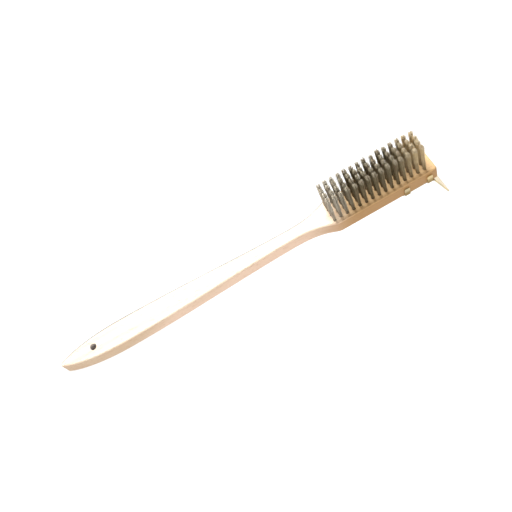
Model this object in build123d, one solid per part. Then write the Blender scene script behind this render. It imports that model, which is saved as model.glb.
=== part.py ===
from build123d import *

import math
import os

# Long-handled wire scratch brush with a scraper at the end of its head.
#
# Frame: the origin is on the axis of the hanging hole, half way through the
# wood. +X runs along the handle to the end of the head, +Z is the way the
# bristles point, and Y is across the brush. Everything is in millimetres.

# ---- wood block: handle and head in one piece ----
BLOCK_LENGTH = 501.0  # butt of the handle to the end of the head
BLOCK_THICKNESS = 18.0
EDGE_RADIUS = 2.2  # rounding of the long edges
NOSE_RADIUS = 4.0  # rounding of the butt, seen from above
NOSE_ARC = 65.0  # degrees that the rounding turns before the side starts
GRIP_WIDTH = 33.2  # widest place of the grip
GRIP_FROM_BUTT = 85.0
NECK_WIDTH = 17.6  # narrowest place, just before the head
NECK_TO_HEAD = 56.0  # narrowest place to the head's full width
HEAD_WIDTH = 40.0
HEAD_CORNER_RADIUS = 3.5

# How far each curve of the side stays close to its end's direction
NOSE_HANDLE = 14.0
GRIP_HANDLE_BACK = 42.0
GRIP_HANDLE_FRONT = 75.0
NECK_HANDLE_BACK = 55.0
NECK_HANDLE_FRONT = 40.0
SHOULDER_HANDLE = 9.0

# ---- hanging hole ----
HANG_HOLE_FROM_BUTT = 45.0
HANG_HOLE_DIAMETER = 8.0
HANG_HOLE_CHAMFER = 0.5

# ---- drilling for the tufts ----
ROW_COUNT = 15
ROW_PITCH = 8.5
TUFTS_PER_ROW = 4
TUFT_PITCH = 8.0  # across the head
LAST_ROW_TO_END = 12.5
FIRST_ROW_LEAD = 3.5  # the first row stands this far before the full width
TUFT_HOLE_DIAMETER = 4.2
TUFT_HOLE_DEPTH = 11.0
DRILL_POINT_ANGLE = 118.0

# ---- tufts: bundles of wire, folded over an anchor ----
TUFT_CLEARANCE = 0.05  # tuft to the wall of its hole, on the radius
TUFT_STANDOUT = 44.0  # wire above the wood
TUFT_TOP_DIAMETER = 6.2
TUFT_DOME = 3.0  # height of the rounded top
TUFT_FOLD_RADIUS = 1.0

# ---- anchors: flat staples driven across the holes ----
ANCHOR_THICKNESS = 0.5
ANCHOR_HEIGHT = 2.0
ANCHOR_BITE = 0.8  # how far each end is driven into the wood
ANCHOR_ABOVE_FLOOR = 1.6
ANCHOR_END_CUT = 0.6  # slanted corner that cuts into the wood
ANCHOR_SLOT_CLEARANCE = 0.04  # anchor to the wire folded round it

# ---- scraper: one bent steel sheet under the head ----
SHEET = 1.5
PLATE_LENGTH = 41.0  # flat part under the head, up to the bend
PLATE_INSET = 1.2  # the flat part stays this far inside the head's sides
PLATE_CORNER_RADIUS = 3.0
BEND_TO_END = 8.0  # start of the bend to the end of the head
BEND_RADIUS = 2.0  # inside of the bend
BLADE_ANGLE = 67.0  # degrees below the underside of the head
BLADE_LENGTH = 44.0  # straight part after the bend
BLADE_OVERHANG = 0.8  # the blade is this much wider than the head, each side
BLADE_CORNER_RADIUS = 3.5
EAR_LENGTH = 7.0
EAR_BEND_RADIUS = 1.0
EAR_CLEARANCE = 0.1  # ear to the side of the wood
EAR_CORNER_RADIUS = 1.5
EAR_HEIGHT = 13.0  # above the underside of the head
REAR_EAR_FROM_PLATE_END = 4.0

# ---- screws that hold the scraper ----
SCREW_DIAMETER = 3.2
SCREW_LENGTH = 12.0  # under the head of the screw
SCREW_POINT = 3.0
SCREW_HEAD_DIAMETER = 7.0
SCREW_HEAD_HEIGHT = 2.2
SCREW_HEAD_RIM = 0.6
SCREW_RECESS_WIDTH = 1.0
SCREW_RECESS_LENGTH = 4.0
SCREW_RECESS_DEPTH = 1.2
SCREW_CLEARANCE = 0.05
SCREW_EDGE_MARGIN = 6.0  # least distance from the rear edge of the plate

# ---- places that follow from the sizes ----
BUTT_X = -HANG_HOLE_FROM_BUTT
HEAD_END_X = BUTT_X + BLOCK_LENGTH
TOP_Z = BLOCK_THICKNESS / 2
UNDERSIDE_Z = -BLOCK_THICKNESS / 2
FIRST_ROW_X = HEAD_END_X - LAST_ROW_TO_END - (ROW_COUNT - 1) * ROW_PITCH
SHOULDER_X = FIRST_ROW_X + FIRST_ROW_LEAD
NECK_X = SHOULDER_X - NECK_TO_HEAD
GRIP_X = BUTT_X + GRIP_FROM_BUTT
FLOOR_Z = TOP_Z - TUFT_HOLE_DEPTH
ANCHOR_LENGTH = TUFT_HOLE_DIAMETER + 2 * ANCHOR_BITE
BEND_X = HEAD_END_X - BEND_TO_END
PLATE_START_X = BEND_X - PLATE_LENGTH


def row_x(row):
    """Place of a row of tufts along the head, counted from 1 at the neck."""
    return FIRST_ROW_X + (row - 1) * ROW_PITCH


def tuft_places():
    """Places of one row's tufts across the head."""
    middle = (TUFTS_PER_ROW - 1) / 2
    return [(column - middle) * TUFT_PITCH for column in range(TUFTS_PER_ROW)]


def half_outline():
    """One side of the block seen from above, from the butt to the end."""
    turn = math.radians(NOSE_ARC)
    nose_end = Vector(
        BUTT_X + NOSE_RADIUS * (1 - math.cos(turn)), NOSE_RADIUS * math.sin(turn)
    )
    nose = RadiusArc((BUTT_X, 0), nose_end, NOSE_RADIUS)
    side = Vector(math.sin(turn), math.cos(turn))
    butt = Bezier(
        nose_end,
        nose_end + side * NOSE_HANDLE,
        (GRIP_X - GRIP_HANDLE_BACK, GRIP_WIDTH / 2),
        (GRIP_X, GRIP_WIDTH / 2),
    )
    handle = Bezier(
        (GRIP_X, GRIP_WIDTH / 2),
        (GRIP_X + GRIP_HANDLE_FRONT, GRIP_WIDTH / 2),
        (NECK_X - NECK_HANDLE_BACK, NECK_WIDTH / 2),
        (NECK_X, NECK_WIDTH / 2),
    )
    shoulder = Bezier(
        (NECK_X, NECK_WIDTH / 2),
        (NECK_X + NECK_HANDLE_FRONT, NECK_WIDTH / 2),
        (SHOULDER_X - SHOULDER_HANDLE, HEAD_WIDTH / 2),
        (SHOULDER_X, HEAD_WIDTH / 2),
    )
    corner = HEAD_CORNER_RADIUS
    head_side = Line(
        (SHOULDER_X, HEAD_WIDTH / 2), (HEAD_END_X - corner, HEAD_WIDTH / 2)
    )
    head_corner = RadiusArc(
        (HEAD_END_X - corner, HEAD_WIDTH / 2),
        (HEAD_END_X, HEAD_WIDTH / 2 - corner),
        corner,
    )
    head_end = Line((HEAD_END_X, HEAD_WIDTH / 2 - corner), (HEAD_END_X, 0))
    return [nose, butt, handle, shoulder, head_side, head_corner, head_end]


def dome(radius, rim_z, peak_z):
    """A quarter of an ellipse, from the rim of a round top to its middle."""
    reach = 4 / 3 * (math.sqrt(2) - 1)
    rise = peak_z - rim_z
    return Bezier(
        (radius, rim_z),
        (radius, rim_z + reach * rise),
        (reach * radius, peak_z),
        (0, peak_z),
    )


def wood_blank():
    """The shaped and rounded block before any drilling."""
    side = Curve() + half_outline()
    face = make_face(side + mirror(side, about=Plane.XZ))
    block = extrude(face, BLOCK_THICKNESS / 2, both=True)
    faces = block.faces().sort_by(Axis.Z)
    return fillet(faces[0].edges() + faces[-1].edges(), EDGE_RADIUS)


def hang_hole():
    """The tool that bores the hanging hole and breaks its two rims."""
    radius = HANG_HOLE_DIAMETER / 2
    flare = HANG_HOLE_CHAMFER
    profile = Polyline(
        (0, UNDERSIDE_Z - flare),
        (radius + 2 * flare, UNDERSIDE_Z - flare),
        (radius, UNDERSIDE_Z + flare),
        (radius, TOP_Z - flare),
        (radius + 2 * flare, TOP_Z + flare),
        (0, TOP_Z + flare),
        close=True,
    )
    return revolve(make_face(Plane.XZ * profile), Axis.Z)


def tuft_hole():
    """The tool that drills one blind hole, with its pointed floor."""
    radius = TUFT_HOLE_DIAMETER / 2
    point = radius / math.tan(math.radians(DRILL_POINT_ANGLE / 2))
    profile = Polyline(
        (0, FLOOR_Z - point),
        (radius, FLOOR_Z),
        (radius, TOP_Z + 1),
        (0, TOP_Z + 1),
        close=True,
    )
    return revolve(make_face(Plane.XZ * profile), Axis.Z)


def anchor(grow=0.0):
    """One flat staple across a hole, its lower corners cut to a slant."""
    half = ANCHOR_LENGTH / 2 + grow
    low = FLOOR_Z + ANCHOR_ABOVE_FLOOR - grow
    high = FLOOR_Z + ANCHOR_ABOVE_FLOOR + ANCHOR_HEIGHT + grow
    profile = Polyline(
        (-half + ANCHOR_END_CUT, low),
        (half - ANCHOR_END_CUT, low),
        (half, low + ANCHOR_END_CUT),
        (half, high),
        (-half, high),
        (-half, low + ANCHOR_END_CUT),
        close=True,
    )
    face = make_face(Plane.YZ * profile)
    return extrude(face, ANCHOR_THICKNESS / 2 + grow, both=True)


def tuft():
    """One bundle of wire: straight in its hole, spreading above the wood."""
    shank = TUFT_HOLE_DIAMETER / 2 - TUFT_CLEARANCE
    top = TUFT_TOP_DIAMETER / 2
    tip_z = TOP_Z + TUFT_STANDOUT
    fold_z = FLOOR_Z + TUFT_CLEARANCE
    fold = TUFT_FOLD_RADIUS
    profile = [
        Line((0, fold_z), (shank - fold, fold_z)),
        RadiusArc((shank - fold, fold_z), (shank, fold_z + fold), -fold),
        Line((shank, fold_z + fold), (shank, TOP_Z)),
        Line((shank, TOP_Z), (top, tip_z - TUFT_DOME)),
        dome(top, tip_z - TUFT_DOME, tip_z),
        Line((0, tip_z), (0, fold_z)),
    ]
    face = make_face(Plane.XZ * (Curve() + profile))
    return revolve(face, Axis.Z) - anchor(ANCHOR_SLOT_CLEARANCE)


def plate_and_blade():
    """The sheet seen from the side, pushed out to the width of each part."""
    centre = (BEND_X, UNDERSIDE_Z - SHEET - BEND_RADIUS)
    outer = BEND_RADIUS + SHEET
    turn = math.radians(BLADE_ANGLE)
    lean = Vector(math.sin(turn), math.cos(turn))
    down = Vector(math.cos(turn), -math.sin(turn))
    middle = Vector(*centre)
    inside_root = middle + lean * BEND_RADIUS
    outside_root = middle + lean * outer
    inside_tip = inside_root + down * BLADE_LENGTH
    outside_tip = outside_root + down * BLADE_LENGTH
    plate_top = (PLATE_START_X, UNDERSIDE_Z)
    plate_low = (PLATE_START_X, UNDERSIDE_Z - SHEET)
    bend_top = (BEND_X, UNDERSIDE_Z)
    bend_low = (BEND_X, UNDERSIDE_Z - SHEET)
    profile = [
        Line(plate_low, plate_top),
        Line(plate_top, bend_top),
        RadiusArc(bend_top, outside_root, outer),
        Line(outside_root, outside_tip),
        Line(outside_tip, inside_tip),
        Line(inside_tip, inside_root),
        RadiusArc(inside_root, bend_low, -BEND_RADIUS),
        Line(bend_low, plate_low),
    ]
    face = make_face(Plane.XZ * (Curve() + profile))
    widest = HEAD_WIDTH / 2 + BLADE_OVERHANG
    sheet = extrude(face, widest, both=True)

    plate_half = HEAD_WIDTH / 2 - PLATE_INSET
    side_waste = Pos(
        (PLATE_START_X + BEND_X) / 2, 0, UNDERSIDE_Z - SHEET / 2
    ) * Box(PLATE_LENGTH, 2 * widest + 2, SHEET + 1)
    side_waste -= Pos(
        (PLATE_START_X + BEND_X) / 2, 0, UNDERSIDE_Z - SHEET / 2
    ) * Box(PLATE_LENGTH + 2, 2 * plate_half, SHEET + 2)
    sheet -= side_waste

    plate_corners = sheet.edges().filter_by(Axis.Z).group_by(Axis.X)[0]
    sheet = fillet(plate_corners, PLATE_CORNER_RADIUS)
    tip_corners = sheet.edges().filter_by(lambda e: is_tip_corner(e, lean))
    return fillet(tip_corners, BLADE_CORNER_RADIUS)


def is_tip_corner(edge, lean):
    """True for the two short edges at the far corners of the blade."""
    across = Vector(lean.X, 0, lean.Y)
    if abs(edge.length - SHEET) > 1e-4 or edge.geom_type != GeomType.LINE:
        return False
    return abs(abs(edge.tangent_at(0).dot(across)) - 1) < 1e-6


def ear(start_x, side):
    """One ear: leaves the plate's edge, turns up and lies along the wood."""
    face_y = HEAD_WIDTH / 2 + EAR_CLEARANCE
    bend_y = face_y - EAR_BEND_RADIUS
    root_y = HEAD_WIDTH / 2 - PLATE_INSET - 1
    outer = EAR_BEND_RADIUS + SHEET
    bend_z = UNDERSIDE_Z + EAR_BEND_RADIUS
    top_z = UNDERSIDE_Z + EAR_HEIGHT
    profile = [
        Line((root_y, UNDERSIDE_Z), (bend_y, UNDERSIDE_Z)),
        RadiusArc((bend_y, UNDERSIDE_Z), (face_y, bend_z), -EAR_BEND_RADIUS),
        Line((face_y, bend_z), (face_y, top_z)),
        Line((face_y, top_z), (face_y + SHEET, top_z)),
        Line((face_y + SHEET, top_z), (face_y + SHEET, bend_z)),
        RadiusArc((face_y + SHEET, bend_z), (bend_y, UNDERSIDE_Z - SHEET), outer),
        Line((bend_y, UNDERSIDE_Z - SHEET), (root_y, UNDERSIDE_Z - SHEET)),
        Line((root_y, UNDERSIDE_Z - SHEET), (root_y, UNDERSIDE_Z)),
    ]
    face = make_face(Plane.YZ * (Curve() + profile))
    flap = Pos(start_x + EAR_LENGTH / 2, 0, 0) * extrude(face, EAR_LENGTH / 2, both=True)
    corners = flap.edges().filter_by(Axis.Y).group_by(Axis.Z)[-1]
    flap = fillet(corners, EAR_CORNER_RADIUS)
    return flap if side > 0 else mirror(flap, about=Plane.XZ)


def screw_places():
    """Places of the two screws, each half way between two rows of tufts."""
    front = row_x(ROW_COUNT) - ROW_PITCH / 2
    room = front - PLATE_START_X - SCREW_EDGE_MARGIN
    rear = front - math.floor(room / ROW_PITCH) * ROW_PITCH
    return [(rear, 0), (front, 0)]


def screw_profile(grow=0.0):
    """Shank and point of a screw from its seat upwards, for body or hole."""
    radius = SCREW_DIAMETER / 2 + grow
    seat_z = UNDERSIDE_Z - SHEET
    tip_z = seat_z + SCREW_LENGTH + grow
    profile = Polyline(
        (0, seat_z - grow),
        (radius, seat_z - grow),
        (radius, tip_z - SCREW_POINT),
        (0, tip_z),
        close=True,
    )
    return revolve(make_face(Plane.XZ * profile), Axis.Z)


def screw():
    """One round-headed screw with a cross recess, point upwards."""
    seat_z = UNDERSIDE_Z - SHEET
    head_z = seat_z - SCREW_HEAD_HEIGHT
    radius = SCREW_HEAD_DIAMETER / 2
    rim_z = seat_z - SCREW_HEAD_RIM
    rim = [
        Line((0, seat_z), (radius, seat_z)),
        Line((radius, seat_z), (radius, rim_z)),
        dome(radius, rim_z, head_z),
        Line((0, head_z), (0, seat_z)),
    ]
    body = revolve(make_face(Plane.XZ * (Curve() + rim)), Axis.Z) + screw_profile()
    recess_z = head_z + SCREW_RECESS_DEPTH / 2 - 0.5
    deep = SCREW_RECESS_DEPTH + 1
    across = Box(SCREW_RECESS_LENGTH, SCREW_RECESS_WIDTH, deep)
    along = Box(SCREW_RECESS_WIDTH, SCREW_RECESS_LENGTH, deep)
    return body - Pos(0, 0, recess_z) * (across + along)


def placed(piece, places):
    """Copies of a piece at each (x, y) place."""
    return [Pos(x, y, 0) * piece for x, y in places]


def handle_block():
    """The finished wood: blank, hanging hole, tuft holes, slots and pilots."""
    block = wood_blank() - hang_hole()
    for row in range(1, ROW_COUNT + 1):
        places = [(row_x(row), y) for y in tuft_places()]
        block -= placed(tuft_hole(), places)
        block -= placed(anchor(), places)
    return block - placed(screw_profile(SCREW_CLEARANCE), screw_places())


def scraper_plate():
    """Plate, bent blade and four ears, drilled for the two screws."""
    plate = plate_and_blade()
    for start_x in (BEND_X - EAR_LENGTH, PLATE_START_X + REAR_EAR_FROM_PLATE_END):
        for side in (-1, 1):
            plate += ear(start_x, side)
    return plate - placed(screw_profile(SCREW_CLEARANCE), screw_places())


def write(name, solids):
    """Write one node from its solids."""
    export_step(Compound(label=name, children=solids), f"parts/{name}.step")


os.makedirs("parts", exist_ok=True)

write("handle_block", handle_block().solids())
write("scraper_plate", scraper_plate().solids())
write("scraper_screws", [s.solid() for s in placed(screw(), screw_places())])

one_tuft = tuft()
one_anchor = anchor()
for row in range(1, ROW_COUNT + 1):
    row_places = [(row_x(row), y) for y in tuft_places()]
    tufts = [t.solid() for t in placed(one_tuft, row_places)]
    anchors = [a.solid() for a in placed(one_anchor, row_places)]
    write(f"bristle_row_{row:02d}", tufts)
    write(f"anchor_row_{row:02d}", anchors)
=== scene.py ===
"""Looks of a long-handled wooden wire scratch brush with a bent steel scraper.

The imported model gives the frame: the wood block, the scraper plate, its screws and
the anchors keep their own shapes and get their finishes here. Each row of tufts is
rebuilt wire by wire, every wire folded under its anchor as a brush maker sets it.
Lengths are metres. +X runs along the handle to the head, +Z is the bristles' way.
"""

import logging
import math
from dataclasses import dataclass
from enum import Enum

import bpy
import numpy as np
from mathutils import Matrix, Vector


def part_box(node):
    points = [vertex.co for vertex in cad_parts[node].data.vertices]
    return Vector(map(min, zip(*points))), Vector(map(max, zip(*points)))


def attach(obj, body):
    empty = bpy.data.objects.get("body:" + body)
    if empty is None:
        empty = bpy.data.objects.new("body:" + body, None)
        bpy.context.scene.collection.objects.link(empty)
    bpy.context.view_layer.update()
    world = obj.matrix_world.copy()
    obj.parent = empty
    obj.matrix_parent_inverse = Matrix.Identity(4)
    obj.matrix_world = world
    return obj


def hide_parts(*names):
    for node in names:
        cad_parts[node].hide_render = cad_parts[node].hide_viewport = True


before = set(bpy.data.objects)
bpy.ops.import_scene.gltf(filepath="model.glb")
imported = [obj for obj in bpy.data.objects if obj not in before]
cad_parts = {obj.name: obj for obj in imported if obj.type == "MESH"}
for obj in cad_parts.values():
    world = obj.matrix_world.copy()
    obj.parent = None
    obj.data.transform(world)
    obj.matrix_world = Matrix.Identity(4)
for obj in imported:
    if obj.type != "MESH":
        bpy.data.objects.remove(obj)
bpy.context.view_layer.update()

MM = 0.001
UV_MAP = "OFBake"

log = logging.getLogger("scratch_brush")


class Slot(Enum):
    """Material slots of the record."""

    WOOD = "beech_wood"
    WIRE = "bristle_wire"
    ANCHOR = "anchor_steel"
    SHEET = "sheet_steel"
    SCREW = "screw_steel"


class Leg(Enum):
    """The two legs of a folded wire, by the side of the anchor they stand on."""

    NECK_SIDE = -1
    END_SIDE = 1


Point = tuple[float, float, float]
Colour = tuple[float, float, float]
Span = tuple[float, float]


class Row(Enum):
    """Kinds of numbered rows in the frame, by the start of their nodes' names."""

    TUFTS = "bristle_row_"
    ANCHORS = "anchor_row_"

    def node(self, number: int) -> str:
        """Name of one row's node, counted from 1 at the neck."""
        return f"{self.value}{number:02d}"

    def count(self) -> int:
        """How many such rows the frame has."""
        return sum(name.startswith(self.value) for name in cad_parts)


def rgba(colour: Colour) -> tuple[float, float, float, float]:
    """The colour with full alpha, as a socket wants it."""
    return (*colour, 1.0)


# --------------------------------------------------------------------------
# The head, measured on the frame
# --------------------------------------------------------------------------


@dataclass(frozen=True)
class Head:
    """Where the rows, the tufts, the anchors and the wood of the head are."""

    rows: int
    first_row_x: float
    last_row_x: float
    first_tuft_y: float
    last_tuft_y: float
    wood_top: float
    wood_low: float
    wire_top: float
    anchor_low: float
    anchor_high: float
    anchor_half: float
    tufts: int = 4
    hole_radius: float = 2.1 * MM

    @property
    def row_pitch(self) -> float:
        """Distance from row to row."""
        return (self.last_row_x - self.first_row_x) / (self.rows - 1)

    @property
    def tuft_pitch(self) -> float:
        """Distance from tuft to tuft across the head."""
        return (self.last_tuft_y - self.first_tuft_y) / (self.tufts - 1)

    @classmethod
    def measured(cls) -> "Head":
        """Measure the head on the frame's own boxes.

        Returns:
            The head.
        """
        rows = Row.TUFTS.count()
        low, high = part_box(Row.TUFTS.node(1))
        end_low, end_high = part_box(Row.TUFTS.node(rows))
        wood_low, wood_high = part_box("handle_block")
        anchor_low, anchor_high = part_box(Row.ANCHORS.node(1))
        half_tuft = (high.x - low.x) / 2
        return cls(
            rows=rows,
            first_row_x=(low.x + high.x) / 2,
            last_row_x=(end_low.x + end_high.x) / 2,
            first_tuft_y=low.y + half_tuft,
            last_tuft_y=high.y - half_tuft,
            wood_top=wood_high.z,
            wood_low=wood_low.z,
            wire_top=high.z,
            anchor_low=anchor_low.z,
            anchor_high=anchor_high.z,
            anchor_half=(anchor_high.x - anchor_low.x) / 2,
        )


HEAD = Head.measured()


# --------------------------------------------------------------------------
# Node trees
# --------------------------------------------------------------------------


class Graph:
    """One material's node tree, built up in short calls."""

    def __init__(self, name: str) -> None:
        """Start an empty material with one shader and one output.

        Args:
            name: The material's name.
        """
        self.material = bpy.data.materials.new(name)
        self.material.use_nodes = True
        self.tree = self.material.node_tree
        self.tree.nodes.clear()
        self.shader = self.tree.nodes.new("ShaderNodeBsdfPrincipled")
        output = self.tree.nodes.new("ShaderNodeOutputMaterial")
        self.tree.links.new(self.shader.outputs["BSDF"], output.inputs["Surface"])
        self.place = self.node("ShaderNodeTexCoord")

    def node(self, kind: str, **settings: object) -> bpy.types.Node:
        """Add a node and set its plain properties.

        Args:
            kind: Blender's name of the node type.
            **settings: Properties of the node.

        Returns:
            The new node.
        """
        made = self.tree.nodes.new(kind)
        for key, value in settings.items():
            setattr(made, key, value)
        return made

    def feed(self, socket: bpy.types.NodeSocket, value: object) -> None:
        """Link an output to a socket, or set a plain value on it.

        Args:
            socket: The input to feed.
            value: An output socket, a number, a vector or a colour.
        """
        if isinstance(value, bpy.types.NodeSocket):
            self.tree.links.new(value, socket)
        else:
            socket.default_value = value

    def stretched(self, scale: Point, offset: Point = (0, 0, 0)) -> bpy.types.NodeSocket:
        """The piece's own coordinates, scaled along each axis.

        Args:
            scale: Scale along X, Y and Z.
            offset: Shift after the scale.

        Returns:
            The vector output.
        """
        mapping = self.node("ShaderNodeMapping")
        self.feed(mapping.inputs["Vector"], self.place.outputs["Object"])
        mapping.inputs["Scale"].default_value = scale
        mapping.inputs["Location"].default_value = offset
        return mapping.outputs["Vector"]

    def noise(
        self,
        scale: Point,
        detail: float = 3.0,
        roughness: float = 0.55,
        distortion: float = 0.0,
        offset: Point = (0, 0, 0),
    ) -> bpy.types.NodeSocket:
        """A noise pattern with its own stretch along each axis.

        Args:
            scale: Waves per metre along X, Y and Z.
            detail: Levels of finer noise.
            roughness: Weight of the finer levels.
            distortion: How far the pattern is pulled about.
            offset: Shift of the pattern, to tell two alike patterns apart.

        Returns:
            The noise value, from 0 to 1.
        """
        made = self.node("ShaderNodeTexNoise")
        self.feed(made.inputs["Vector"], self.stretched(scale, offset))
        made.inputs["Scale"].default_value = 1.0
        made.inputs["Detail"].default_value = detail
        made.inputs["Roughness"].default_value = roughness
        made.inputs["Distortion"].default_value = distortion
        return made.outputs["Fac"]

    def axis(self, letter: str, source: str = "Object") -> bpy.types.NodeSocket:
        """One coordinate of the piece's own place or normal.

        Args:
            letter: "X", "Y" or "Z".
            source: "Object" for the place, "Normal" for the normal.

        Returns:
            That coordinate.
        """
        split = self.node("ShaderNodeSeparateXYZ")
        self.feed(split.inputs[0], self.place.outputs[source])
        return split.outputs[letter]

    def math(self, operation: str, *values: object) -> bpy.types.NodeSocket:
        """One arithmetic step.

        Args:
            operation: The Math node's operation.
            *values: Its inputs, in order.

        Returns:
            The result.
        """
        made = self.node("ShaderNodeMath", operation=operation)
        for socket, value in zip(made.inputs, values):
            self.feed(socket, value)
        return made.outputs[0]

    def times(self, *values: object) -> bpy.types.NodeSocket:
        """The product of two or more values.

        Args:
            *values: Outputs or numbers.

        Returns:
            Their product.
        """
        product = values[0]
        for value in values[1:]:
            product = self.math("MULTIPLY", product, value)
        return product

    def length(self, first: object, second: object) -> bpy.types.NodeSocket:
        """Distance from two coordinates at right angles.

        Args:
            first: One coordinate.
            second: The other one.

        Returns:
            The distance.
        """
        squares = [self.math("POWER", value, 2.0) for value in (first, second)]
        return self.math("SQRT", self.math("ADD", *squares))

    def from_nearest(self, letter: str, first: float, pitch: float) -> bpy.types.NodeSocket:
        """Distance along an axis from the nearest of evenly spaced marks.

        Args:
            letter: "X", "Y" or "Z".
            first: Place of one mark.
            pitch: Distance from mark to mark.

        Returns:
            The distance, with its sign.
        """
        past = self.math("SUBTRACT", self.axis(letter), first)
        return self.math("WRAP", past, pitch / 2, -pitch / 2)

    def ramp(
        self,
        value: bpy.types.NodeSocket,
        low: float,
        high: float,
        to_low: float = 0.0,
        to_high: float = 1.0,
    ) -> bpy.types.NodeSocket:
        """A smooth step from one level to another.

        Args:
            value: What the step reads.
            low: Where the step starts.
            high: Where it ends.
            to_low: The level before the step.
            to_high: The level after it.

        Returns:
            The stepped value.
        """
        made = self.node("ShaderNodeMapRange", interpolation_type="SMOOTHSTEP")
        for name, given in (
            ("Value", value),
            ("From Min", low),
            ("From Max", high),
            ("To Min", to_low),
            ("To Max", to_high),
        ):
            self.feed(made.inputs[name], given)
        return made.outputs["Result"]

    def fade(self, value: bpy.types.NodeSocket, low: float, high: float) -> bpy.types.NodeSocket:
        """A smooth step from 1 down to 0."""
        return self.ramp(value, low, high, 1.0, 0.0)

    def mix(self, share: object, first: object, second: object) -> bpy.types.NodeSocket:
        """A colour between two others.

        Args:
            share: 0 for the first, 1 for the second.
            first: A colour or a colour output.
            second: A colour or a colour output.

        Returns:
            The mixed colour.
        """
        made = self.node("ShaderNodeMix", data_type="RGBA")
        self.feed(made.inputs["Factor"], share)
        for socket, value in ((made.inputs[6], first), (made.inputs[7], second)):
            self.feed(socket, value if isinstance(value, bpy.types.NodeSocket) else rgba(value))
        return made.outputs[2]

    def bump(self, height: bpy.types.NodeSocket, depth: float, strength: float) -> None:
        """Give the shader a relief.

        Args:
            height: The relief, from 0 to 1.
            depth: Its depth in metres.
            strength: Share of the relief that shows.
        """
        made = self.node("ShaderNodeBump")
        made.inputs["Distance"].default_value = depth
        made.inputs["Strength"].default_value = strength
        self.feed(made.inputs["Height"], height)
        self.feed(self.shader.inputs["Normal"], made.outputs["Normal"])

    def set(self, **values: object) -> None:
        """Feed the shader's sockets by name, with _ for a space.

        Args:
            **values: Socket names and what they take.
        """
        for key, value in values.items():
            self.feed(self.shader.inputs[key.replace("_", " ")], value)


# --------------------------------------------------------------------------
# Finishes
# --------------------------------------------------------------------------


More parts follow.
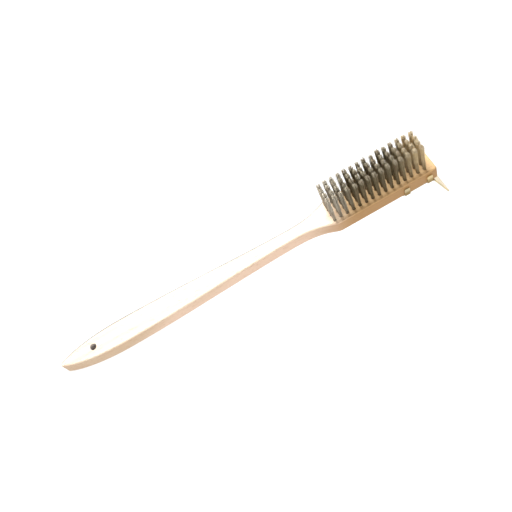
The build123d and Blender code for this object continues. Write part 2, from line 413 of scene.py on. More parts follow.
@dataclass(frozen=True)
class BeechFinish:
    """Bare sanded beech: a pale board, darker where it is held, and a golden head, with painted
    shade on the sides, the far upper edge and the hanging hole's bore, and a painted shadow of
    the bristles beside the rows.
    """

    # Colours
    pale: Colour = (0.80, 0.66, 0.50)
    dark: Colour = (0.73, 0.54, 0.39)
    # Painted shade: the sides get a darker colour than the top faces
    side: Colour = (0.63, 0.435, 0.32)
    handled: Colour = (0.47, 0.33, 0.21)
    golden: Colour = (0.58, 0.35, 0.13)
    # Painted shade on the head's sides and end, and painted shadow of the bristles beside the
    # rows
    head_shade: Colour = (0.32, 0.172, 0.062)
    # Painted shade on the rounded far upper edge
    edge: Colour = (0.13, 0.125, 0.12)
    fleck: Colour = (0.38, 0.20, 0.09)
    grime: Colour = (0.20, 0.13, 0.08)
    # Painted shade in the hanging hole's bore
    bore_shade: Colour = (0.30, 0.32, 0.34)

    # Share of each tone where it is at its strongest
    side_shade_share: float = 0.8
    golden_share: float = 0.85
    head_shade_share: float = 0.85
    head_shade_end_share: float = 0.5
    border_share: float = 0.5
    end_grain_share: float = 0.4
    fleck_share: float = 0.5
    grime_share: float = 0.2
    bore_shade_share: float = 0.6

    # Patterns, in waves per metre along X, Y and Z
    ring_scale: Point = (1.1, 26.0, 20.0)
    cloud_scale: Point = (9, 45, 45)
    fibre_scale: Point = (55, 1500, 1500)
    fleck_scale: Point = (150, 1300, 1300)
    fleck_offset: Point = (3, 7, 1)
    grime_scale: Point = (420, 420, 420)

    # How the patterns add up, and where each step from one tone to the next lies
    ring_weight: float = 0.45
    cloud_weight: float = 0.55
    fibre_weight: float = 0.35
    held_weight: float = 0.5
    tone_shift: float = 0.18
    tone_steps: Span = (0.2, 0.85)
    fleck_steps: Span = (0.64, 0.70)
    held_steps: Span = (0.45, 1.0)

    # Steps of the surface's direction, 0 for across and 1 for square on
    side_steps: Span = (0.25, 0.8)
    top_steps: Span = (0.8, 0.95)
    end_steps: Span = (0.55, 0.95)
    flank_steps: Span = (0.5, 0.95)
    rounding_from: Span = (0.05, 0.35)
    rounding_to: Span = (0.97, 0.999)
    far_steps: Span = (0.02, 0.2)
    upper_steps: Span = (0.0, 0.3)

    # Places on the brush
    held_end: Span = (30 * MM, 120 * MM)
    head_shade_before_rows: float = 49.5 * MM
    golden_before_rows: float = 14.5 * MM
    full_past_first_row: float = 30.5 * MM
    border: Span = (14 * MM, 18 * MM)
    border_past_rows: float = 7 * MM
    rims_past_rows: Span = (2 * MM, 4 * MM)
    rim_spread: float = 1.5
    hang_radius: float = 4.0 * MM
    hang_rim: Span = (1.02, 1.2)

    # Surface
    shine: float = 0.35
    roughness: Span = (0.46, 0.66)
    relief: float = 0.06 * MM
    relief_strength: float = 0.8

    def rings(self, graph: Graph) -> bpy.types.NodeSocket:
        """Growth rings of a flat-sawn board: long loops along the handle.

        Args:
            graph: The wood's node tree.

        Returns:
            The rings, from 0 to 1.
        """
        wave = graph.node("ShaderNodeTexWave", wave_type="BANDS", bands_direction="Y")
        graph.feed(wave.inputs["Vector"], graph.stretched(self.ring_scale))
        wave.inputs["Scale"].default_value = 1.2
        wave.inputs["Distortion"].default_value = 7.0
        wave.inputs["Detail"].default_value = 2.0
        wave.inputs["Detail Scale"].default_value = 0.8
        return wave.outputs["Fac"]

    def board(
        self,
        graph: Graph,
        clouds: bpy.types.NodeSocket,
        fibres: bpy.types.NodeSocket,
    ) -> bpy.types.NodeSocket:
        """Pale and dark wood, by its rings, soft clouds and fibres.

        Args:
            graph: The wood's node tree.
            clouds: Soft large patches.
            fibres: Fine lines along the board.

        Returns:
            The colour.
        """
        soft = graph.times(clouds, self.cloud_weight)
        tone = graph.math("MULTIPLY_ADD", self.rings(graph), self.ring_weight, soft)
        tone = graph.math("SUBTRACT", tone, self.tone_shift)
        tone = graph.math("MULTIPLY_ADD", fibres, self.fibre_weight, tone)
        return graph.mix(graph.ramp(tone, *self.tone_steps), self.pale, self.dark)

    def sides(
        self,
        graph: Graph,
        base: bpy.types.NodeSocket,
        side: bpy.types.NodeSocket,
        clouds: bpy.types.NodeSocket,
    ) -> bpy.types.NodeSocket:
        """Sides of the board, darker than the faces in painted shade, and darkest near the butt,
        where it is held.

        Args:
            graph: The wood's node tree.
            base: The colour so far.
            side: 1 on the sides, 0 on the faces.
            clouds: Soft large patches.

        Returns:
            The colour.
        """
        butt = graph.fade(graph.axis("X"), *self.held_end)
        held = graph.math("MULTIPLY_ADD", butt, self.held_weight, clouds)
        held = graph.ramp(held, *self.held_steps)
        flank = graph.mix(held, self.side, self.handled)
        # Painted shade: the sides take the side colour, darker than the faces
        return graph.mix(graph.times(side, self.side_shade_share), base, flank)

    def golden_head_and_shade(
        self,
        graph: Graph,
        base: bpy.types.NodeSocket,
        side: bpy.types.NodeSocket,
        outward: bpy.types.NodeSocket,
    ) -> bpy.types.NodeSocket:
        """Golden head, with painted shade on its sides and, half as strong, its end, and a
        painted shadow of the bristles on a border beside the rows.

        Args:
            graph: The wood's node tree.
            base: The colour so far.
            side: 1 on the sides, 0 on the faces.
            outward: How squarely the surface looks along the board.

        Returns:
            The colour.
        """
        along = graph.axis("X")
        full = HEAD.first_row_x + self.full_past_first_row
        golden = graph.ramp(along, HEAD.first_row_x - self.golden_before_rows, full)
        base = graph.mix(graph.times(golden, self.golden_share), base, self.golden)
        across = graph.math("ABSOLUTE", graph.axis("Y"))
        # Painted shadow of the bristles: a darker border on the top beside the rows
        border = graph.ramp(across, *self.border, 0.0, self.border_share)
        beside = graph.fade(along, HEAD.last_row_x, HEAD.last_row_x + self.border_past_rows)
        border = graph.times(border, golden, beside)
        # Painted shade on the head's sides, half as strong on its end
        flanks = graph.ramp(outward, *self.flank_steps, 1.0, self.head_shade_end_share)
        shade = graph.ramp(along, HEAD.first_row_x - self.head_shade_before_rows, full)
        shade = graph.math("MAXIMUM", graph.times(shade, side, flanks), border)
        return graph.mix(graph.times(shade, self.head_shade_share), base, self.head_shade)

    def shaded_far_edge(
        self,
        graph: Graph,
        base: bpy.types.NodeSocket,
        upright: bpy.types.NodeSocket,
        clouds: bpy.types.NodeSocket,
    ) -> bpy.types.NodeSocket:
        """Painted shade on the rounded upper edge of the +Y side, grey and dark, in patches.

        Args:
            graph: The wood's node tree.
            base: The colour so far.
            upright: How squarely the surface looks up or down.
            clouds: Soft large patches.

        Returns:
            The colour.
        """
        # Painted shade: the rounded upper edge of the +Y side, in patches
        past_side = graph.ramp(upright, *self.rounding_from)
        below_top = graph.fade(upright, *self.rounding_to)
        far = graph.ramp(graph.axis("Y", "Normal"), *self.far_steps)
        upper = graph.ramp(graph.axis("Z", "Normal"), *self.upper_steps)
        patchy = graph.ramp(clouds, 0.25, 0.65, 0.75, 1.0)
        rubbed = graph.times(past_side, below_top, far, upper, patchy)
        return graph.mix(rubbed, base, self.edge)

    def tuft_rims(self, graph: Graph) -> bpy.types.NodeSocket:
        """Dirt in a ring round each drilled hole.

        Args:
            graph: The wood's node tree.

        Returns:
            The share of dirt.
        """
        away = graph.length(
            graph.from_nearest("X", HEAD.first_row_x, HEAD.row_pitch),
            graph.from_nearest("Y", HEAD.first_tuft_y, HEAD.tuft_pitch),
        )
        ring = graph.fade(away, HEAD.hole_radius, HEAD.hole_radius * self.rim_spread)
        patchy = graph.ramp(graph.noise(self.grime_scale), 0.25, 0.75, 0.35, 1.0)
        near, far = self.rims_past_rows
        along = graph.axis("X")
        after_first = graph.ramp(along, HEAD.first_row_x - far, HEAD.first_row_x - near)
        before_last = graph.fade(along, HEAD.last_row_x + near, HEAD.last_row_x + far)
        top = graph.ramp(graph.axis("Z", "Normal"), *self.top_steps)
        return graph.times(ring, after_first, before_last, top, patchy)

    def hang_hole_shade(self, graph: Graph) -> bpy.types.NodeSocket:
        """Painted shade in the bore of the hanging hole and on a thin ring round its mouth.

        Args:
            graph: The wood's node tree.

        Returns:
            The share of the painted shade.
        """
        # Painted shade in the bore and on a thin ring round its mouth
        away = graph.length(graph.axis("X"), graph.axis("Y"))
        low, high = (self.hang_radius * share for share in self.hang_rim)
        return graph.ramp(away, low, high, self.bore_shade_share, 0.0)

    def build(self) -> bpy.types.Material:
        """Make the wood's material.

        Returns:
            The material.
        """
        graph = Graph("beech")
        clouds = graph.noise(self.cloud_scale, detail=4)
        fibres = graph.noise(self.fibre_scale, detail=2)
        dashes = graph.noise(self.fleck_scale, detail=1, offset=self.fleck_offset)
        flecks = graph.ramp(dashes, *self.fleck_steps)
        upright = graph.math("ABSOLUTE", graph.axis("Z", "Normal"))
        outward = graph.math("ABSOLUTE", graph.axis("X", "Normal"))
        side = graph.fade(upright, *self.side_steps)
        end_grain = graph.ramp(outward, *self.end_steps, 0.0, self.end_grain_share)
        base = self.board(graph, clouds, fibres)
        base = self.sides(graph, base, side, clouds)
        base = self.golden_head_and_shade(graph, base, side, outward)
        base = self.shaded_far_edge(graph, base, upright, clouds)
        base = graph.mix(end_grain, base, self.dark)
        base = graph.mix(graph.times(flecks, self.fleck_share), base, self.fleck)
        base = graph.mix(graph.times(self.tuft_rims(graph), self.grime_share), base, self.grime)
        base = graph.mix(self.hang_hole_shade(graph), base, self.bore_shade)
        worn = graph.math("ADD", clouds, graph.times(fibres, 0.4))
        rough = graph.ramp(worn, 0.3, 1.1, *self.roughness)
        graph.set(Base_Color=base, Roughness=rough, Specular_IOR_Level=self.shine)
        relief = graph.math("SUBTRACT", fibres, graph.times(flecks, 0.8))
        graph.bump(relief, self.relief, self.relief_strength)
        return graph.material


@dataclass(frozen=True)
class WireFinish:
    """Drawn steel wire, oily over most of the head, with painted light on the rows at the neck
    and, in a brassy tone, on the rows at the end, painted shade at the roots and worn tips with
    a painted highlight.
    """

    # Colours
    # Painted shade at the roots of the tufts, stronger past the neck
    root: Colour = (0.15, 0.10, 0.04)
    # Painted light on the rows at the neck
    neck_rows_light: Colour = (0.51, 0.46, 0.37)
    # Painted light, in a brassy tone, on the rows at the end
    end_rows_light: Colour = (0.74, 0.58, 0.33)
    oily: Colour = (0.19, 0.15, 0.075)
    # Worn tips with a painted highlight; also the tone of the lighter strands
    worn: Colour = (0.46, 0.41, 0.32)
    rust: Colour = (0.22, 0.11, 0.05)

    # Share of each tone where it is at its strongest
    end_rows_light_share: float = 0.85
    least_root_shade: float = 0.15
    more_root_shade: float = 0.45
    worn_and_highlight_share: float = 0.6
    rust_share: float = 0.6
    bright_share: float = 0.28

    # Patterns, in waves per metre along X, Y and Z, and their steps
    strand_scale: Point = (1500, 1500, 25)
    patch_scale: Point = (140, 140, 60)
    draw_mark_scale: Point = (3000, 3000, 400)
    rust_steps: Span = (0.27, 0.40)
    bright_steps: Span = (0.5, 0.75)
    patch_steps: Span = (0.3, 0.7)

    # Places on the brush
    oily_past_first_row: float = 36 * MM
    end_light_before_last_row: float = 38 * MM
    root_shade_height: float = 22 * MM
    worn_and_highlight_height: float = 8 * MM

    # Surface
    metal: float = 0.5
    roughness: Span = (0.46, 0.64)
    draw_mark_depth: float = 0.01 * MM
    draw_mark_strength: float = 0.5

    def build(self) -> bpy.types.Material:
        """Make the wire's material.

        Returns:
            The material.
        """
        graph = Graph("drawn_wire")
        height = graph.axis("Z")
        along = graph.axis("X")
        strand = graph.noise(self.strand_scale, detail=1)
        patches = graph.noise(self.patch_scale, detail=3)
        low = graph.fade(height, HEAD.wood_top, HEAD.wood_top + self.root_shade_height)
        high = graph.ramp(height, HEAD.wire_top - self.worn_and_highlight_height, HEAD.wire_top)
        # Painted light on the neck rows and, in a brassy tone, on the end rows
        past_neck = graph.ramp(along, HEAD.first_row_x, HEAD.first_row_x + self.oily_past_first_row)
        end = graph.ramp(along, HEAD.last_row_x - self.end_light_before_last_row, HEAD.last_row_x)
        shaft = graph.mix(past_neck, self.neck_rows_light, self.oily)
        shaft = graph.mix(graph.times(end, self.end_rows_light_share), shaft, self.end_rows_light)
        # Painted shade at the roots, stronger past the neck
        root_shading = graph.math("MULTIPLY_ADD", past_neck, self.more_root_shade, self.least_root_shade)
        base = graph.mix(graph.times(root_shading, low), shaft, self.root)
        # Worn tips with a painted highlight
        base = graph.mix(graph.times(high, self.worn_and_highlight_share), base, self.worn)
        brown = graph.ramp(graph.times(strand, patches), *self.rust_steps)
        base = graph.mix(graph.times(brown, self.rust_share), base, self.rust)
        bright = graph.ramp(strand, *self.bright_steps)
        base = graph.mix(graph.times(bright, self.bright_share), base, self.worn)
        rough = graph.ramp(patches, *self.patch_steps, *self.roughness)
        graph.set(Base_Color=base, Metallic=self.metal, Roughness=rough)
        draw_marks = graph.noise(self.draw_mark_scale, detail=1)
        graph.bump(draw_marks, self.draw_mark_depth, self.draw_mark_strength)
        return graph.material


@dataclass(frozen=True)
class SheetFinish:
    """Rolled steel sheet with a thin yellow plating and stains, with painted shade on the ears
    and the plate along the wood.
    """

    # Colours
    plate: Colour = (0.72, 0.56, 0.29)
    bare: Colour = (0.58, 0.49, 0.31)
    # Stains, and painted shade on the ears and the plate along the wood
    stain_and_shade: Colour = (0.30, 0.20, 0.07)

    # Share of each tone where it is at its strongest
    stain_share: float = 0.4
    edge_share: float = 0.6
    scratch_share: float = 0.5

    # Patterns, in waves per metre along X, Y and Z, and their steps
    rolled_scale: Point = (60, 2400, 60)
    cloud_scale: Point = (70, 70, 70)
    scratch_scale: Point = (180, 1600, 120)
    stain_scale: Point = (45, 60, 45)
    stain_offset: Point = (5, 2, 9)
    cloud_steps: Span = (0.35, 0.75)
    scratch_steps: Span = (0.66, 0.72)
    stain_steps: Span = (0.58, 0.74)

    # Heights: from the blade's edge, and from the underside of the wood
    blade_edge: Span = (1.2 * MM, 8.2 * MM)
    shade_band_starts: float = 6 * MM
    shade_band_ends: Span = (4 * MM, 10 * MM)

    # Surface
    roughness: Span = (0.24, 0.44)
    scratch_depth: float = 0.02 * MM
    scratch_strength: float = 0.6

    def shade_band(self, graph: Graph, clouds: bpy.types.NodeSocket) -> bpy.types.NodeSocket:
        """Painted shade on the plate and the ears, up along the wood's side, in patches.

        Args:
            graph: The sheet's node tree.
            clouds: Soft patches.

        Returns:
            The share of painted shade.
        """
        height = graph.axis("Z")
        fade_from, fade_to = (HEAD.wood_low + rise for rise in self.shade_band_ends)
        above = graph.ramp(height, HEAD.wood_low - self.shade_band_starts, HEAD.wood_low)
        below = graph.fade(height, fade_from, fade_to)
        return graph.times(above, below, graph.ramp(clouds, 0.2, 0.6, 0.75, 1.0))

    def build(self) -> bpy.types.Material:
        """Make the sheet's material.

        Returns:
            The material.
        """
        graph = Graph("plated_sheet")
        rolled = graph.noise(self.rolled_scale, detail=2)
        clouds = graph.noise(self.cloud_scale, detail=4)
        lines = graph.noise(self.scratch_scale, detail=1, distortion=0.6)
        scratches = graph.ramp(lines, *self.scratch_steps)
        spots = graph.noise(self.stain_scale, detail=5, offset=self.stain_offset)
        stains = graph.ramp(spots, *self.stain_steps)
        base = graph.mix(graph.ramp(clouds, *self.cloud_steps), self.plate, self.bare)
        base = graph.mix(graph.times(stains, self.stain_share), base, self.stain_and_shade)
        # Painted shade on the ears and the plate along the wood
        base = graph.mix(self.shade_band(graph, clouds), base, self.stain_and_shade)
        sheet_low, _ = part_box("scraper_plate")
        edge = graph.fade(graph.axis("Z"), *(sheet_low.z + rise for rise in self.blade_edge))
        base = graph.mix(graph.times(edge, self.edge_share), base, self.bare)
        base = graph.mix(graph.times(scratches, self.scratch_share), base, self.bare)
        worn = graph.math("ADD", clouds, graph.times(rolled, 0.5))
        rough = graph.ramp(worn, 0.4, 1.1, *self.roughness)
        graph.set(Base_Color=base, Metallic=1.0, Roughness=rough)
        relief = graph.math("SUBTRACT", graph.times(rolled, 0.5), scratches)
        graph.bump(relief, self.scratch_depth, self.scratch_strength)
        return graph.material


@dataclass(frozen=True)
class SteelFinish:
    """Plain small steel parts, with a little dulling and turning marks."""

    name: str
    bright: Colour
    dull: Colour
    least_rough: float
    more_rough: float = 0.2
    cloud_scale: Point = (260, 260, 260)
    mark_scale: Point = (900, 900, 2600)
    mark_depth: float = 0.01 * MM
    mark_strength: float = 0.5

    def build(self) -> bpy.types.Material:
        """Make the steel's material.

        Returns:
            The material.
        """
        graph = Graph(self.name)
        clouds = graph.noise(self.cloud_scale, detail=4)
        marks = graph.noise(self.mark_scale, detail=1)
        base = graph.mix(graph.ramp(clouds, 0.35, 0.7), self.bright, self.dull)
        most_rough = self.least_rough + self.more_rough
        rough = graph.ramp(clouds, 0.3, 0.75, self.least_rough, most_rough)
        graph.set(Base_Color=base, Metallic=1.0, Roughness=rough)
        graph.bump(marks, self.mark_depth, self.mark_strength)
        return graph.material


@dataclass(frozen=True)
class FloorFinish:
    """Matt white light table: paper on a lit sheet, with a faint tooth."""

    white: Colour = (0.14, 0.14, 0.14)
    pale: Colour = (0.16, 0.16, 0.16)
    light: Colour = (1.0, 1.0, 1.0)
    glow: float = 0.9
    tooth_scale: Point = (35, 35, 35)
    roughness: float = 0.9
    shine: float = 0.1

    def build(self) -> bpy.types.Material:
        """Make the floor's material.

        Returns:
            The material.
        """
        graph = Graph("studio_floor")
        tooth = graph.noise(self.tooth_scale, detail=3)
        tint = graph.mix(tooth, self.white, self.pale)
        graph.set(Base_Color=tint, Roughness=self.roughness, Specular_IOR_Level=self.shine)
        graph.set(Emission_Color=rgba(self.light), Emission_Strength=self.glow)
        return graph.material


# --------------------------------------------------------------------------
# Wire tufts
# --------------------------------------------------------------------------


@dataclass(frozen=True)
class WireSizes:
    """Sizes of the wire and of the way it is set in the wood."""

    # The wire, and how many are folded into a tuft
    radius: float = 0.225 * MM
    sides: int = 5
    folded_wires: int = 22

    # Room in the hole, in radii of the wire: to the wall, to the anchor, under the anchor
    wall_room: float = 1.3
    anchor_room: float = 1.15
    fold_room: float = 1.2
    fold_sag: float = 0.75
    mouth_jitter: float = 0.1 * MM

    # The tuft's top: its half widths along X and Y, its crown, and its wear
    top_radius: Span = (3.1 * MM, 4.3 * MM)
    top_gap: float = 0.1 * MM
    dome: float = 2.6 * MM
    wear: float = 1.1 * MM
    lean: float = 1.2 * MM
    spread: Span = (0.86, 1.1)
    stray_share: float = 0.05
    stray_reach: float = 1.6 * MM

    # The wire's line: how late it bows out, and its slight wave
    bow: float = 1.35
    wave: float = 0.14 * MM
    wave_turns: Span = (1.2, 2.2)
    leg_points: int = 8
    fold_points: int = 5

    # Half width of a cut end on the UV map, as a share of its strip
    cap_on_map: float = 0.35

    @property
    def standout(self) -> float:
        """Longest wire above the wood."""
        return HEAD.wire_top - HEAD.wood_top - self.top_gap


@dataclass
class TuftRow:
    """One row of tufts across the head, each a bundle of folded wires."""

    number: int
    seed: int
    splay: float = 0.0
    sizes: WireSizes = WireSizes()

    @property
    def node(self) -> str:
        """Name of the row's node in the frame."""
        return Row.TUFTS.node(self.number)

    def centres(self) -> list[Vector]:
        """Mouths of the row's holes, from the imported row's own box.

        Returns:
            One point on the wood's top for each tuft, from -Y to +Y.
        """
        low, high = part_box(self.node)
        middle = (low.x + high.x) / 2
        across = [HEAD.first_tuft_y + HEAD.tuft_pitch * i for i in range(HEAD.tufts)]
        return [Vector((middle, y, HEAD.wood_top)) for y in across]

    def stations(self) -> np.ndarray:
        """Places of the wires in a hole, on the end side of the anchor.

        Returns:
            An array of (x, y) pairs, x always past the anchor.
        """
        sizes = self.sizes
        reach = HEAD.hole_radius - sizes.radius * sizes.wall_room
        golden = math.pi * (3 - math.sqrt(5))
        count = sizes.folded_wires * 2
        turn = np.arange(count) * golden
        away = reach * np.sqrt((np.arange(count) + 0.5) / count)
        x, y = np.abs(away * np.cos(turn)), away * np.sin(turn)
        clear = HEAD.anchor_half + sizes.radius * sizes.anchor_room
        order = np.argsort(y)[::2]
        x, y = np.maximum(x[order], clear), y[order]
        limit = np.sqrt(np.maximum(reach**2 - x**2, 0))
        return np.stack([x, np.clip(y, -limit, limit)], axis=1)

    def leg(
        self,
        base: np.ndarray,
        tip: np.ndarray,
        draw: np.random.Generator,
    ) -> np.ndarray:
        """One wire from its hole's mouth to its tip.

        Args:
            base: The wire's place at the mouth.
            tip: The wire's end.
            draw: The row's own random source.

        Returns:
            Points from the mouth to the tip, the mouth left out.
        """
        sizes = self.sizes
        share = np.linspace(0, 1, sizes.leg_points + 1)[1:, None]
        eased = share**sizes.bow
        points = base + (tip - base) * np.concatenate([eased, eased, share], axis=1)
        phase = draw.uniform(0, 2 * math.pi, 2)
        turns = draw.uniform(*sizes.wave_turns, 2)
        swing = sizes.wave * np.sin(share * turns * 2 * math.pi + phase) * np.sqrt(share)
        points[:, :2] += swing
        return points

    def tip_of(
        self,
        base: np.ndarray,
        centre: Vector,
        lean: np.ndarray,
        draw: np.random.Generator,
    ) -> np.ndarray:
        """Where a wire ends: spread from its tuft's middle, and worn.

        Args:
            base: The wire's place at the mouth of its hole.
            centre: The tuft's middle at the mouth.
            lean: How far the whole tuft leans at its top.
            draw: The row's own random source.

        Returns:
            The end point.
        """
        sizes = self.sizes
        middle = np.array(centre[:2])
        off = (base[:2] - middle) / HEAD.hole_radius
        spread = off * np.array(sizes.top_radius) * draw.uniform(*sizes.spread)
        if draw.random() < sizes.stray_share:
            spread = spread + draw.uniform(-1, 1, 2) * sizes.stray_reach
        radial = min(1.0, float(np.hypot(*off)))
        height = sizes.standout - sizes.dome * radial**2 - draw.uniform(0, sizes.wear)
        return np.array([*(middle + spread + lean), centre.z + height])

    def fold(self, station: np.ndarray, centre: Vector) -> np.ndarray:
        """The bend of one wire under its anchor.

        Args:
            station: The wire's (x, y) place in the hole.
            centre: The tuft's middle at the mouth.

        Returns:
            Points from the neck side to the end side.
        """
        sizes = self.sizes
        x, y = station
        angle = np.linspace(0, math.pi, sizes.fold_points + 2)[1:-1]
        outer = max(0.0, x - HEAD.anchor_half - sizes.radius)
        drop = sizes.radius * sizes.fold_room + outer * sizes.fold_sag
        return np.stack(
            [
                centre.x - x * np.cos(angle),
                np.full_like(angle, centre.y + y),
                HEAD.anchor_low - drop * np.sin(angle),
            ],
            axis=1,
        )

    def folded_wire(
        self,
        station: np.ndarray,
        centre: Vector,
        lean: np.ndarray,
        draw: np.random.Generator,
    ) -> np.ndarray:
        """The whole line of one wire, tip to tip, folded under the anchor.

        Args:
            station: The wire's (x, y) place in the hole.
            centre: The tuft's middle at the mouth.
            lean: How far the whole tuft leans at its top.
            draw: The row's own random source.

        Returns:
            The wire's points.
        """
        x, y = station
        jitter = draw.uniform(-1, 1, 2) * self.sizes.mouth_jitter
        over = HEAD.anchor_high
        lines: dict[Leg, np.ndarray] = {}
        for side in Leg:
            foot = np.array([centre.x + side.value * x, centre.y + y, over])
            mouth = foot + np.array([*jitter, centre.z - over])
            leg = self.leg(mouth, self.tip_of(mouth, centre, lean, draw), draw)
            lines[side] = np.concatenate([[foot], [mouth], leg])
        near, far = lines[Leg.NECK_SIDE], lines[Leg.END_SIDE]
        return np.concatenate([near[::-1], self.fold(station, centre), far])

    def wires(self) -> np.ndarray:
        """Lines of all the row's wires.

        Returns:
            An array of wires by points by 3.
        """
        draw = np.random.default_rng(self.seed)
        most = self.sizes.lean
        lines = []
        for centre in self.centres():
            lean = draw.normal(0, most * 0.5, 2).clip(-most, most)
            lean = lean + np.array([self.splay, 0])
            for station in self.stations():
                lines.append(self.folded_wire(station, centre, lean, draw))
        return np.array(lines)

    def tubes(self, lines: np.ndarray) -> bpy.types.Mesh:
        """Round wires along their lines, as one mesh.

        Args:
            lines: Wires by points by 3.

        Returns:
            The mesh, each wire closed by a cut end at both tips.
        """
        sizes = self.sizes
        count, length, _ = lines.shape
        along = np.gradient(lines, axis=1)
        along /= np.linalg.norm(along, axis=2, keepdims=True)
        first = np.cross(along, np.array([0.0, 1.0, 0.0]))
        first /= np.linalg.norm(first, axis=2, keepdims=True)
        second = np.cross(along, first)
        angle = np.arange(sizes.sides) * 2 * math.pi / sizes.sides
        ring = (
            first[:, :, None] * np.cos(angle)[None, None, :, None]
            + second[:, :, None] * np.sin(angle)[None, None, :, None]
        )
        points = (lines[:, :, None] + ring * sizes.radius).reshape(-1, 3)
        ids = np.arange(count * length * sizes.sides).reshape(count, length, sizes.sides)
        turned = np.roll(ids, -1, axis=2)
        quads = np.stack(
            [ids[:, :-1], turned[:, :-1], turned[:, 1:], ids[:, 1:]], axis=-1
        ).reshape(-1, 4)
        caps = np.concatenate([ids[:, 0, ::-1], ids[:, -1]])
        mesh = bpy.data.meshes.new(f"wires_{self.number:02d}")
        mesh.from_pydata(points.tolist(), [], quads.tolist() + caps.tolist())
        smooth = np.ones(len(mesh.polygons), bool)
        smooth[len(quads):] = False
        mesh.polygons.foreach_set("use_smooth", smooth)
        self.lay_flat(mesh, count, length)
        mesh.update()
        return mesh

    def lay_flat(self, mesh: bpy.types.Mesh, count: int, length: int) -> None:
        """Unroll each wire as its own strip of the UV map, tip to tip.

        Args:
            mesh: The row's mesh, quads first and cut ends last.
            count: How many wires there are.
            length: How many points each wire has.
        """
        sides = self.sizes.sides
        wire, step, side = np.meshgrid(
            np.arange(count), np.arange(length - 1), np.arange(sides), indexing="ij"
        )
        column = (wire * (sides + 1) + side).reshape(-1, 1) + np.array([[0, 1, 1, 0]])
        height = step.reshape(-1, 1) + np.array([[1, 1, 2, 2]])
        across = column / (count * (sides + 1))
        up = height / (length + 1)
        turn = np.arange(sides) * 2 * math.pi / sides
        cap_x = np.cos(turn) * self.sizes.cap_on_map + 0.5
        cap_y = np.sin(turn) * self.sizes.cap_on_map + 0.5
        cap_across = (np.arange(count)[:, None] + cap_x) / count
        cap_up = np.broadcast_to(cap_y, cap_across.shape) / (length + 1)
        low = np.stack([cap_across, cap_up], axis=-1)
        high = low + np.array([0, length / (length + 1)])
        quads = np.stack([across, up], axis=-1).reshape(-1, 2)
        places = np.concatenate([quads, low.reshape(-1, 2), high.reshape(-1, 2)])
        layer = mesh.uv_layers.new(name=UV_MAP)
        layer.data.foreach_set("uv", places.astype(np.float32).ravel())

    def build(self, finish: bpy.types.Material) -> bpy.types.Object:
        """Make the row and set it on the brush.

        Args:
            finish: The wire's material.

        Returns:
            The row's object.
        """
        mesh = self.tubes(self.wires())
        mesh.materials.append(finish)
        piece = bpy.data.objects.new(f"wire_row_{self.number:02d}", mesh)
        bpy.context.scene.collection.objects.link(piece)
        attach(piece, "root")
        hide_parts(self.node)
        return piece


@dataclass
class BristleField:
    """All the rows of wire tufts on the head."""

    finish: WireFinish = WireFinish()
    seed: int = 41
    seed_step: int = 100
    end_splay: float = 0.4 * MM
    splayed_rows: int = 3

    def splay(self, number: int) -> float:
        """How far a row leans out over the head's end: only the last rows do."""
        return self.end_splay * max(0.0, 1 - (HEAD.rows - number) / self.splayed_rows) ** 2

    def build(self) -> list[bpy.types.Object]:
        """Make every row.

        Returns:
            The rows' objects, from the neck to the end.
        """
        wire = self.finish.build()
        first_seed = self.seed * self.seed_step
        return [
            TuftRow(number, first_seed + number, self.splay(number)).build(wire)
            for number in range(1, HEAD.rows + 1)
        ]


# --------------------------------------------------------------------------
# Pieces that keep their own shapes
# --------------------------------------------------------------------------


@dataclass
class KeptPiece:
    """A piece of the frame that keeps its shape and gets its finish."""

    node: str
    slot: Slot
    bevel: float = 0.0
    sharp_degrees: float = 40.0

    def dress(self, finish: bpy.types.Material) -> bpy.types.Object:
        """Give the piece its finish, and soften its cut edges.

        Args:
            finish: The material.

        Returns:
            The piece's object.
        """
        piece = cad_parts[self.node]
        piece.data.materials.clear()
        piece.data.materials.append(finish)
        if self.bevel:
            soften = piece.modifiers.new("broken_edges", "BEVEL")
            soften.width = self.bevel
            soften.segments = 2
            soften.limit_method = "ANGLE"
            soften.angle_limit = math.radians(self.sharp_degrees)
            soften.harden_normals = False
        return piece


@dataclass
class WoodenBlock:
    """Handle and head in one board."""

    finish: BeechFinish = BeechFinish()

    def build(self) -> list[bpy.types.Object]:
        """Dress the block.

        Returns:
            The block's object.
        """
        return [KeptPiece("handle_block", Slot.WOOD).dress(self.finish.build())]


@dataclass
class Scraper:
    """Bent plate with its ears, and the screws that hold it."""

    sheet: SheetFinish = SheetFinish()
    screw: SteelFinish = SteelFinish(
        name="zinc_screw",
        bright=(0.72, 0.71, 0.68),
        dull=(0.55, 0.53, 0.48),
        least_rough=0.3,
    )
    broken_edge: float = 0.25 * MM

    def build(self) -> list[bpy.types.Object]:
        """Dress the plate and the screws.

        Returns:
            Their objects.
        """
        plate = KeptPiece("scraper_plate", Slot.SHEET, self.broken_edge)
        screws = KeptPiece("scraper_screws", Slot.SCREW)
        return [plate.dress(self.sheet.build()), screws.dress(self.screw.build())]


@dataclass
class Anchors:
    """Flat staples that hold the folded wires in their holes."""

    finish: SteelFinish = SteelFinish(
        name="anchor_strip",
        bright=(0.60, 0.59, 0.56),
        dull=(0.44, 0.42, 0.38),
        least_rough=0.35,
    )

    def build(self) -> list[bpy.types.Object]:
        """Dress every anchor row.

        Returns:
            Their objects.
        """
        steel = self.finish.build()
        return [
            KeptPiece(Row.ANCHORS.node(number), Slot.ANCHOR).dress(steel)
            for number in range(1, HEAD.rows + 1)
        ]


# --------------------------------------------------------------------------
# Studio
# --------------------------------------------------------------------------


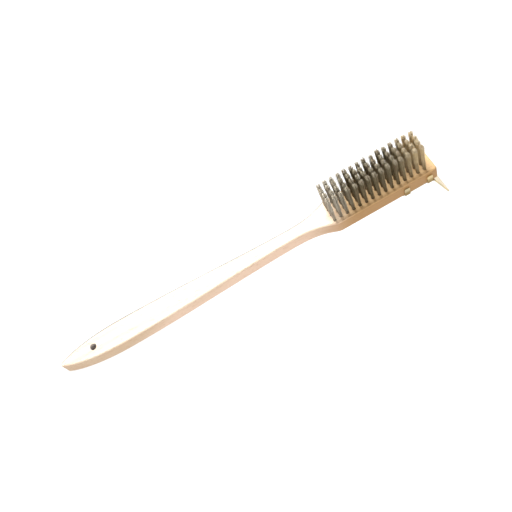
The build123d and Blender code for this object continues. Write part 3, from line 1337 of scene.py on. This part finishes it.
@dataclass(frozen=True)
class StudioCamera:
    """A camera above the near side of the brush, turned so that it lies aslant."""

    aim: Point = (0.2224, 0.0095, -0.009)
    distance: float = 0.8039
    azimuth: float = 4.18
    elevation: float = 57.05
    roll: float = 33.13
    lens: float = 46.6
    sensor: float = 36.0

    def build(self) -> bpy.types.Object:
        """Make the camera and set it as the scene's own.

        Returns:
            The camera's object.
        """
        turn, tilt, roll = (math.radians(a) for a in (self.azimuth, self.elevation, self.roll))
        back = Vector(
            (math.sin(turn) * math.cos(tilt), -math.cos(turn) * math.cos(tilt), math.sin(tilt))
        )
        level = Vector((math.cos(turn), math.sin(turn), 0))
        rise = back.cross(level)
        right = level * math.cos(roll) - rise * math.sin(roll)
        up = level * math.sin(roll) + rise * math.cos(roll)
        data = bpy.data.cameras.new("studio_camera")
        data.lens = self.lens
        data.sensor_width = self.sensor
        camera = bpy.data.objects.new("studio_camera", data)
        axes = Matrix((right, up, back)).transposed().to_4x4()
        camera.matrix_world = Matrix.Translation(Vector(self.aim) + back * self.distance) @ axes
        bpy.context.scene.collection.objects.link(camera)
        bpy.context.scene.camera = camera
        return camera


@dataclass(frozen=True)
class SoftBox:
    """One soft lamp aimed at a point."""

    name: str
    place: Point
    aim: Point
    width: float
    watts: float
    tint: Colour = (1.0, 1.0, 1.0)

    def build(self) -> bpy.types.Object:
        """Make the lamp.

        Returns:
            The lamp's object.
        """
        data = bpy.data.lights.new(self.name, "AREA")
        data.shape = "DISK"
        data.size = self.width
        data.energy = self.watts
        data.color = self.tint
        lamp = bpy.data.objects.new(self.name, data)
        lamp.location = self.place
        way = Vector(self.place) - Vector(self.aim)
        lamp.rotation_euler = way.to_track_quat("Z", "Y").to_euler()
        bpy.context.scene.collection.objects.link(lamp)
        return lamp


@dataclass
class Studio:
    """White floor under the brush, white surroundings and two soft lamps."""

    key: SoftBox = SoftBox(
        name="key_lamp",
        place=(0.32, 0.92, 0.72),
        aim=(0.25, 0.0, 0.0),
        width=0.75,
        watts=40.0,
        tint=(0.94, 0.97, 1.0),
    )
    front: SoftBox = SoftBox(
        name="front_lamp",
        place=(0.10, -0.95, 0.50),
        aim=(0.22, 0.0, 0.0),
        width=0.50,
        watts=5.5,
    )
    sky: Colour = (1.0, 1.0, 1.0)
    sky_level: float = 0.5
    horizon_band: float = 0.18
    floor_finish: FloorFinish = FloorFinish()
    floor_radius: float = 12.0
    floor_sides: int = 96
    floor_gap: float = 0.1 * MM
    butt_rests_at: float = 4 * MM
    blade_rests_at: float = 1.2 * MM

    def floor(self) -> bpy.types.Object:
        """A round floor that carries the butt and the blade's edge.

        Returns:
            The floor's object.
        """
        block_low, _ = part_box("handle_block")
        plate_low, plate_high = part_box("scraper_plate")
        butt = Vector((block_low.x + self.butt_rests_at, 0, block_low.z))
        blade = Vector((plate_high.x - self.blade_rests_at, 0, plate_low.z))
        run = (blade - butt).normalized()
        across = Vector((0, 1, 0))
        up = Vector((-run.z, 0, run.x))
        middle = (butt + blade) / 2 - up * self.floor_gap
        turns = [2 * math.pi * i / self.floor_sides for i in range(self.floor_sides)]
        ring = [
            middle
            + run * (self.floor_radius * math.cos(turn))
            + across * (self.floor_radius * math.sin(turn))
            for turn in turns
        ]
        mesh = bpy.data.meshes.new("studio_floor")
        mesh.from_pydata(ring, [], [list(range(self.floor_sides))])
        mesh.materials.append(self.floor_finish.build())
        floor = bpy.data.objects.new("studio_floor", mesh)
        bpy.context.scene.collection.objects.link(floor)
        return floor

    def surroundings(self) -> None:
        """White light from all round, brightest along the horizon."""
        world = bpy.data.worlds.new("studio_world")
        world.use_nodes = True
        tree = world.node_tree
        back = tree.nodes["Background"]
        back.inputs["Color"].default_value = rgba(self.sky)
        place = tree.nodes.new("ShaderNodeTexCoord")
        split = tree.nodes.new("ShaderNodeSeparateXYZ")
        level = tree.nodes.new("ShaderNodeMapRange")
        level.inputs["From Min"].default_value = self.horizon_band
        level.inputs["From Max"].default_value = self.horizon_band * 2
        level.inputs["To Min"].default_value = 1.0
        level.inputs["To Max"].default_value = self.sky_level
        tree.links.new(place.outputs["Generated"], split.inputs[0])
        tree.links.new(split.outputs["Z"], level.inputs["Value"])
        tree.links.new(level.outputs["Result"], back.inputs["Strength"])
        bpy.context.scene.world = world

    def build(self) -> None:
        """Make the floor, the surroundings, the lamps and the exposure."""
        self.floor()
        self.surroundings()
        self.key.build()
        self.front.build()
        scene = bpy.context.scene
        scene.view_settings.view_transform = "Standard"
        scene.view_settings.look = "None"
        scene.view_settings.exposure = 0.0


def main() -> None:
    """Build the brush and the studio, and report each piece."""
    logging.basicConfig(level=logging.INFO, format="%(name)s: %(message)s")
    StudioCamera().build()
    for assembly in (WoodenBlock(), BristleField(), Anchors(), Scraper()):
        maker = type(assembly).__name__
        for piece in assembly.build():
            log.info("%s: %s has %d faces", maker, piece.name, len(piece.data.polygons))
    Studio().build()


if __name__ == "__main__":
    main()
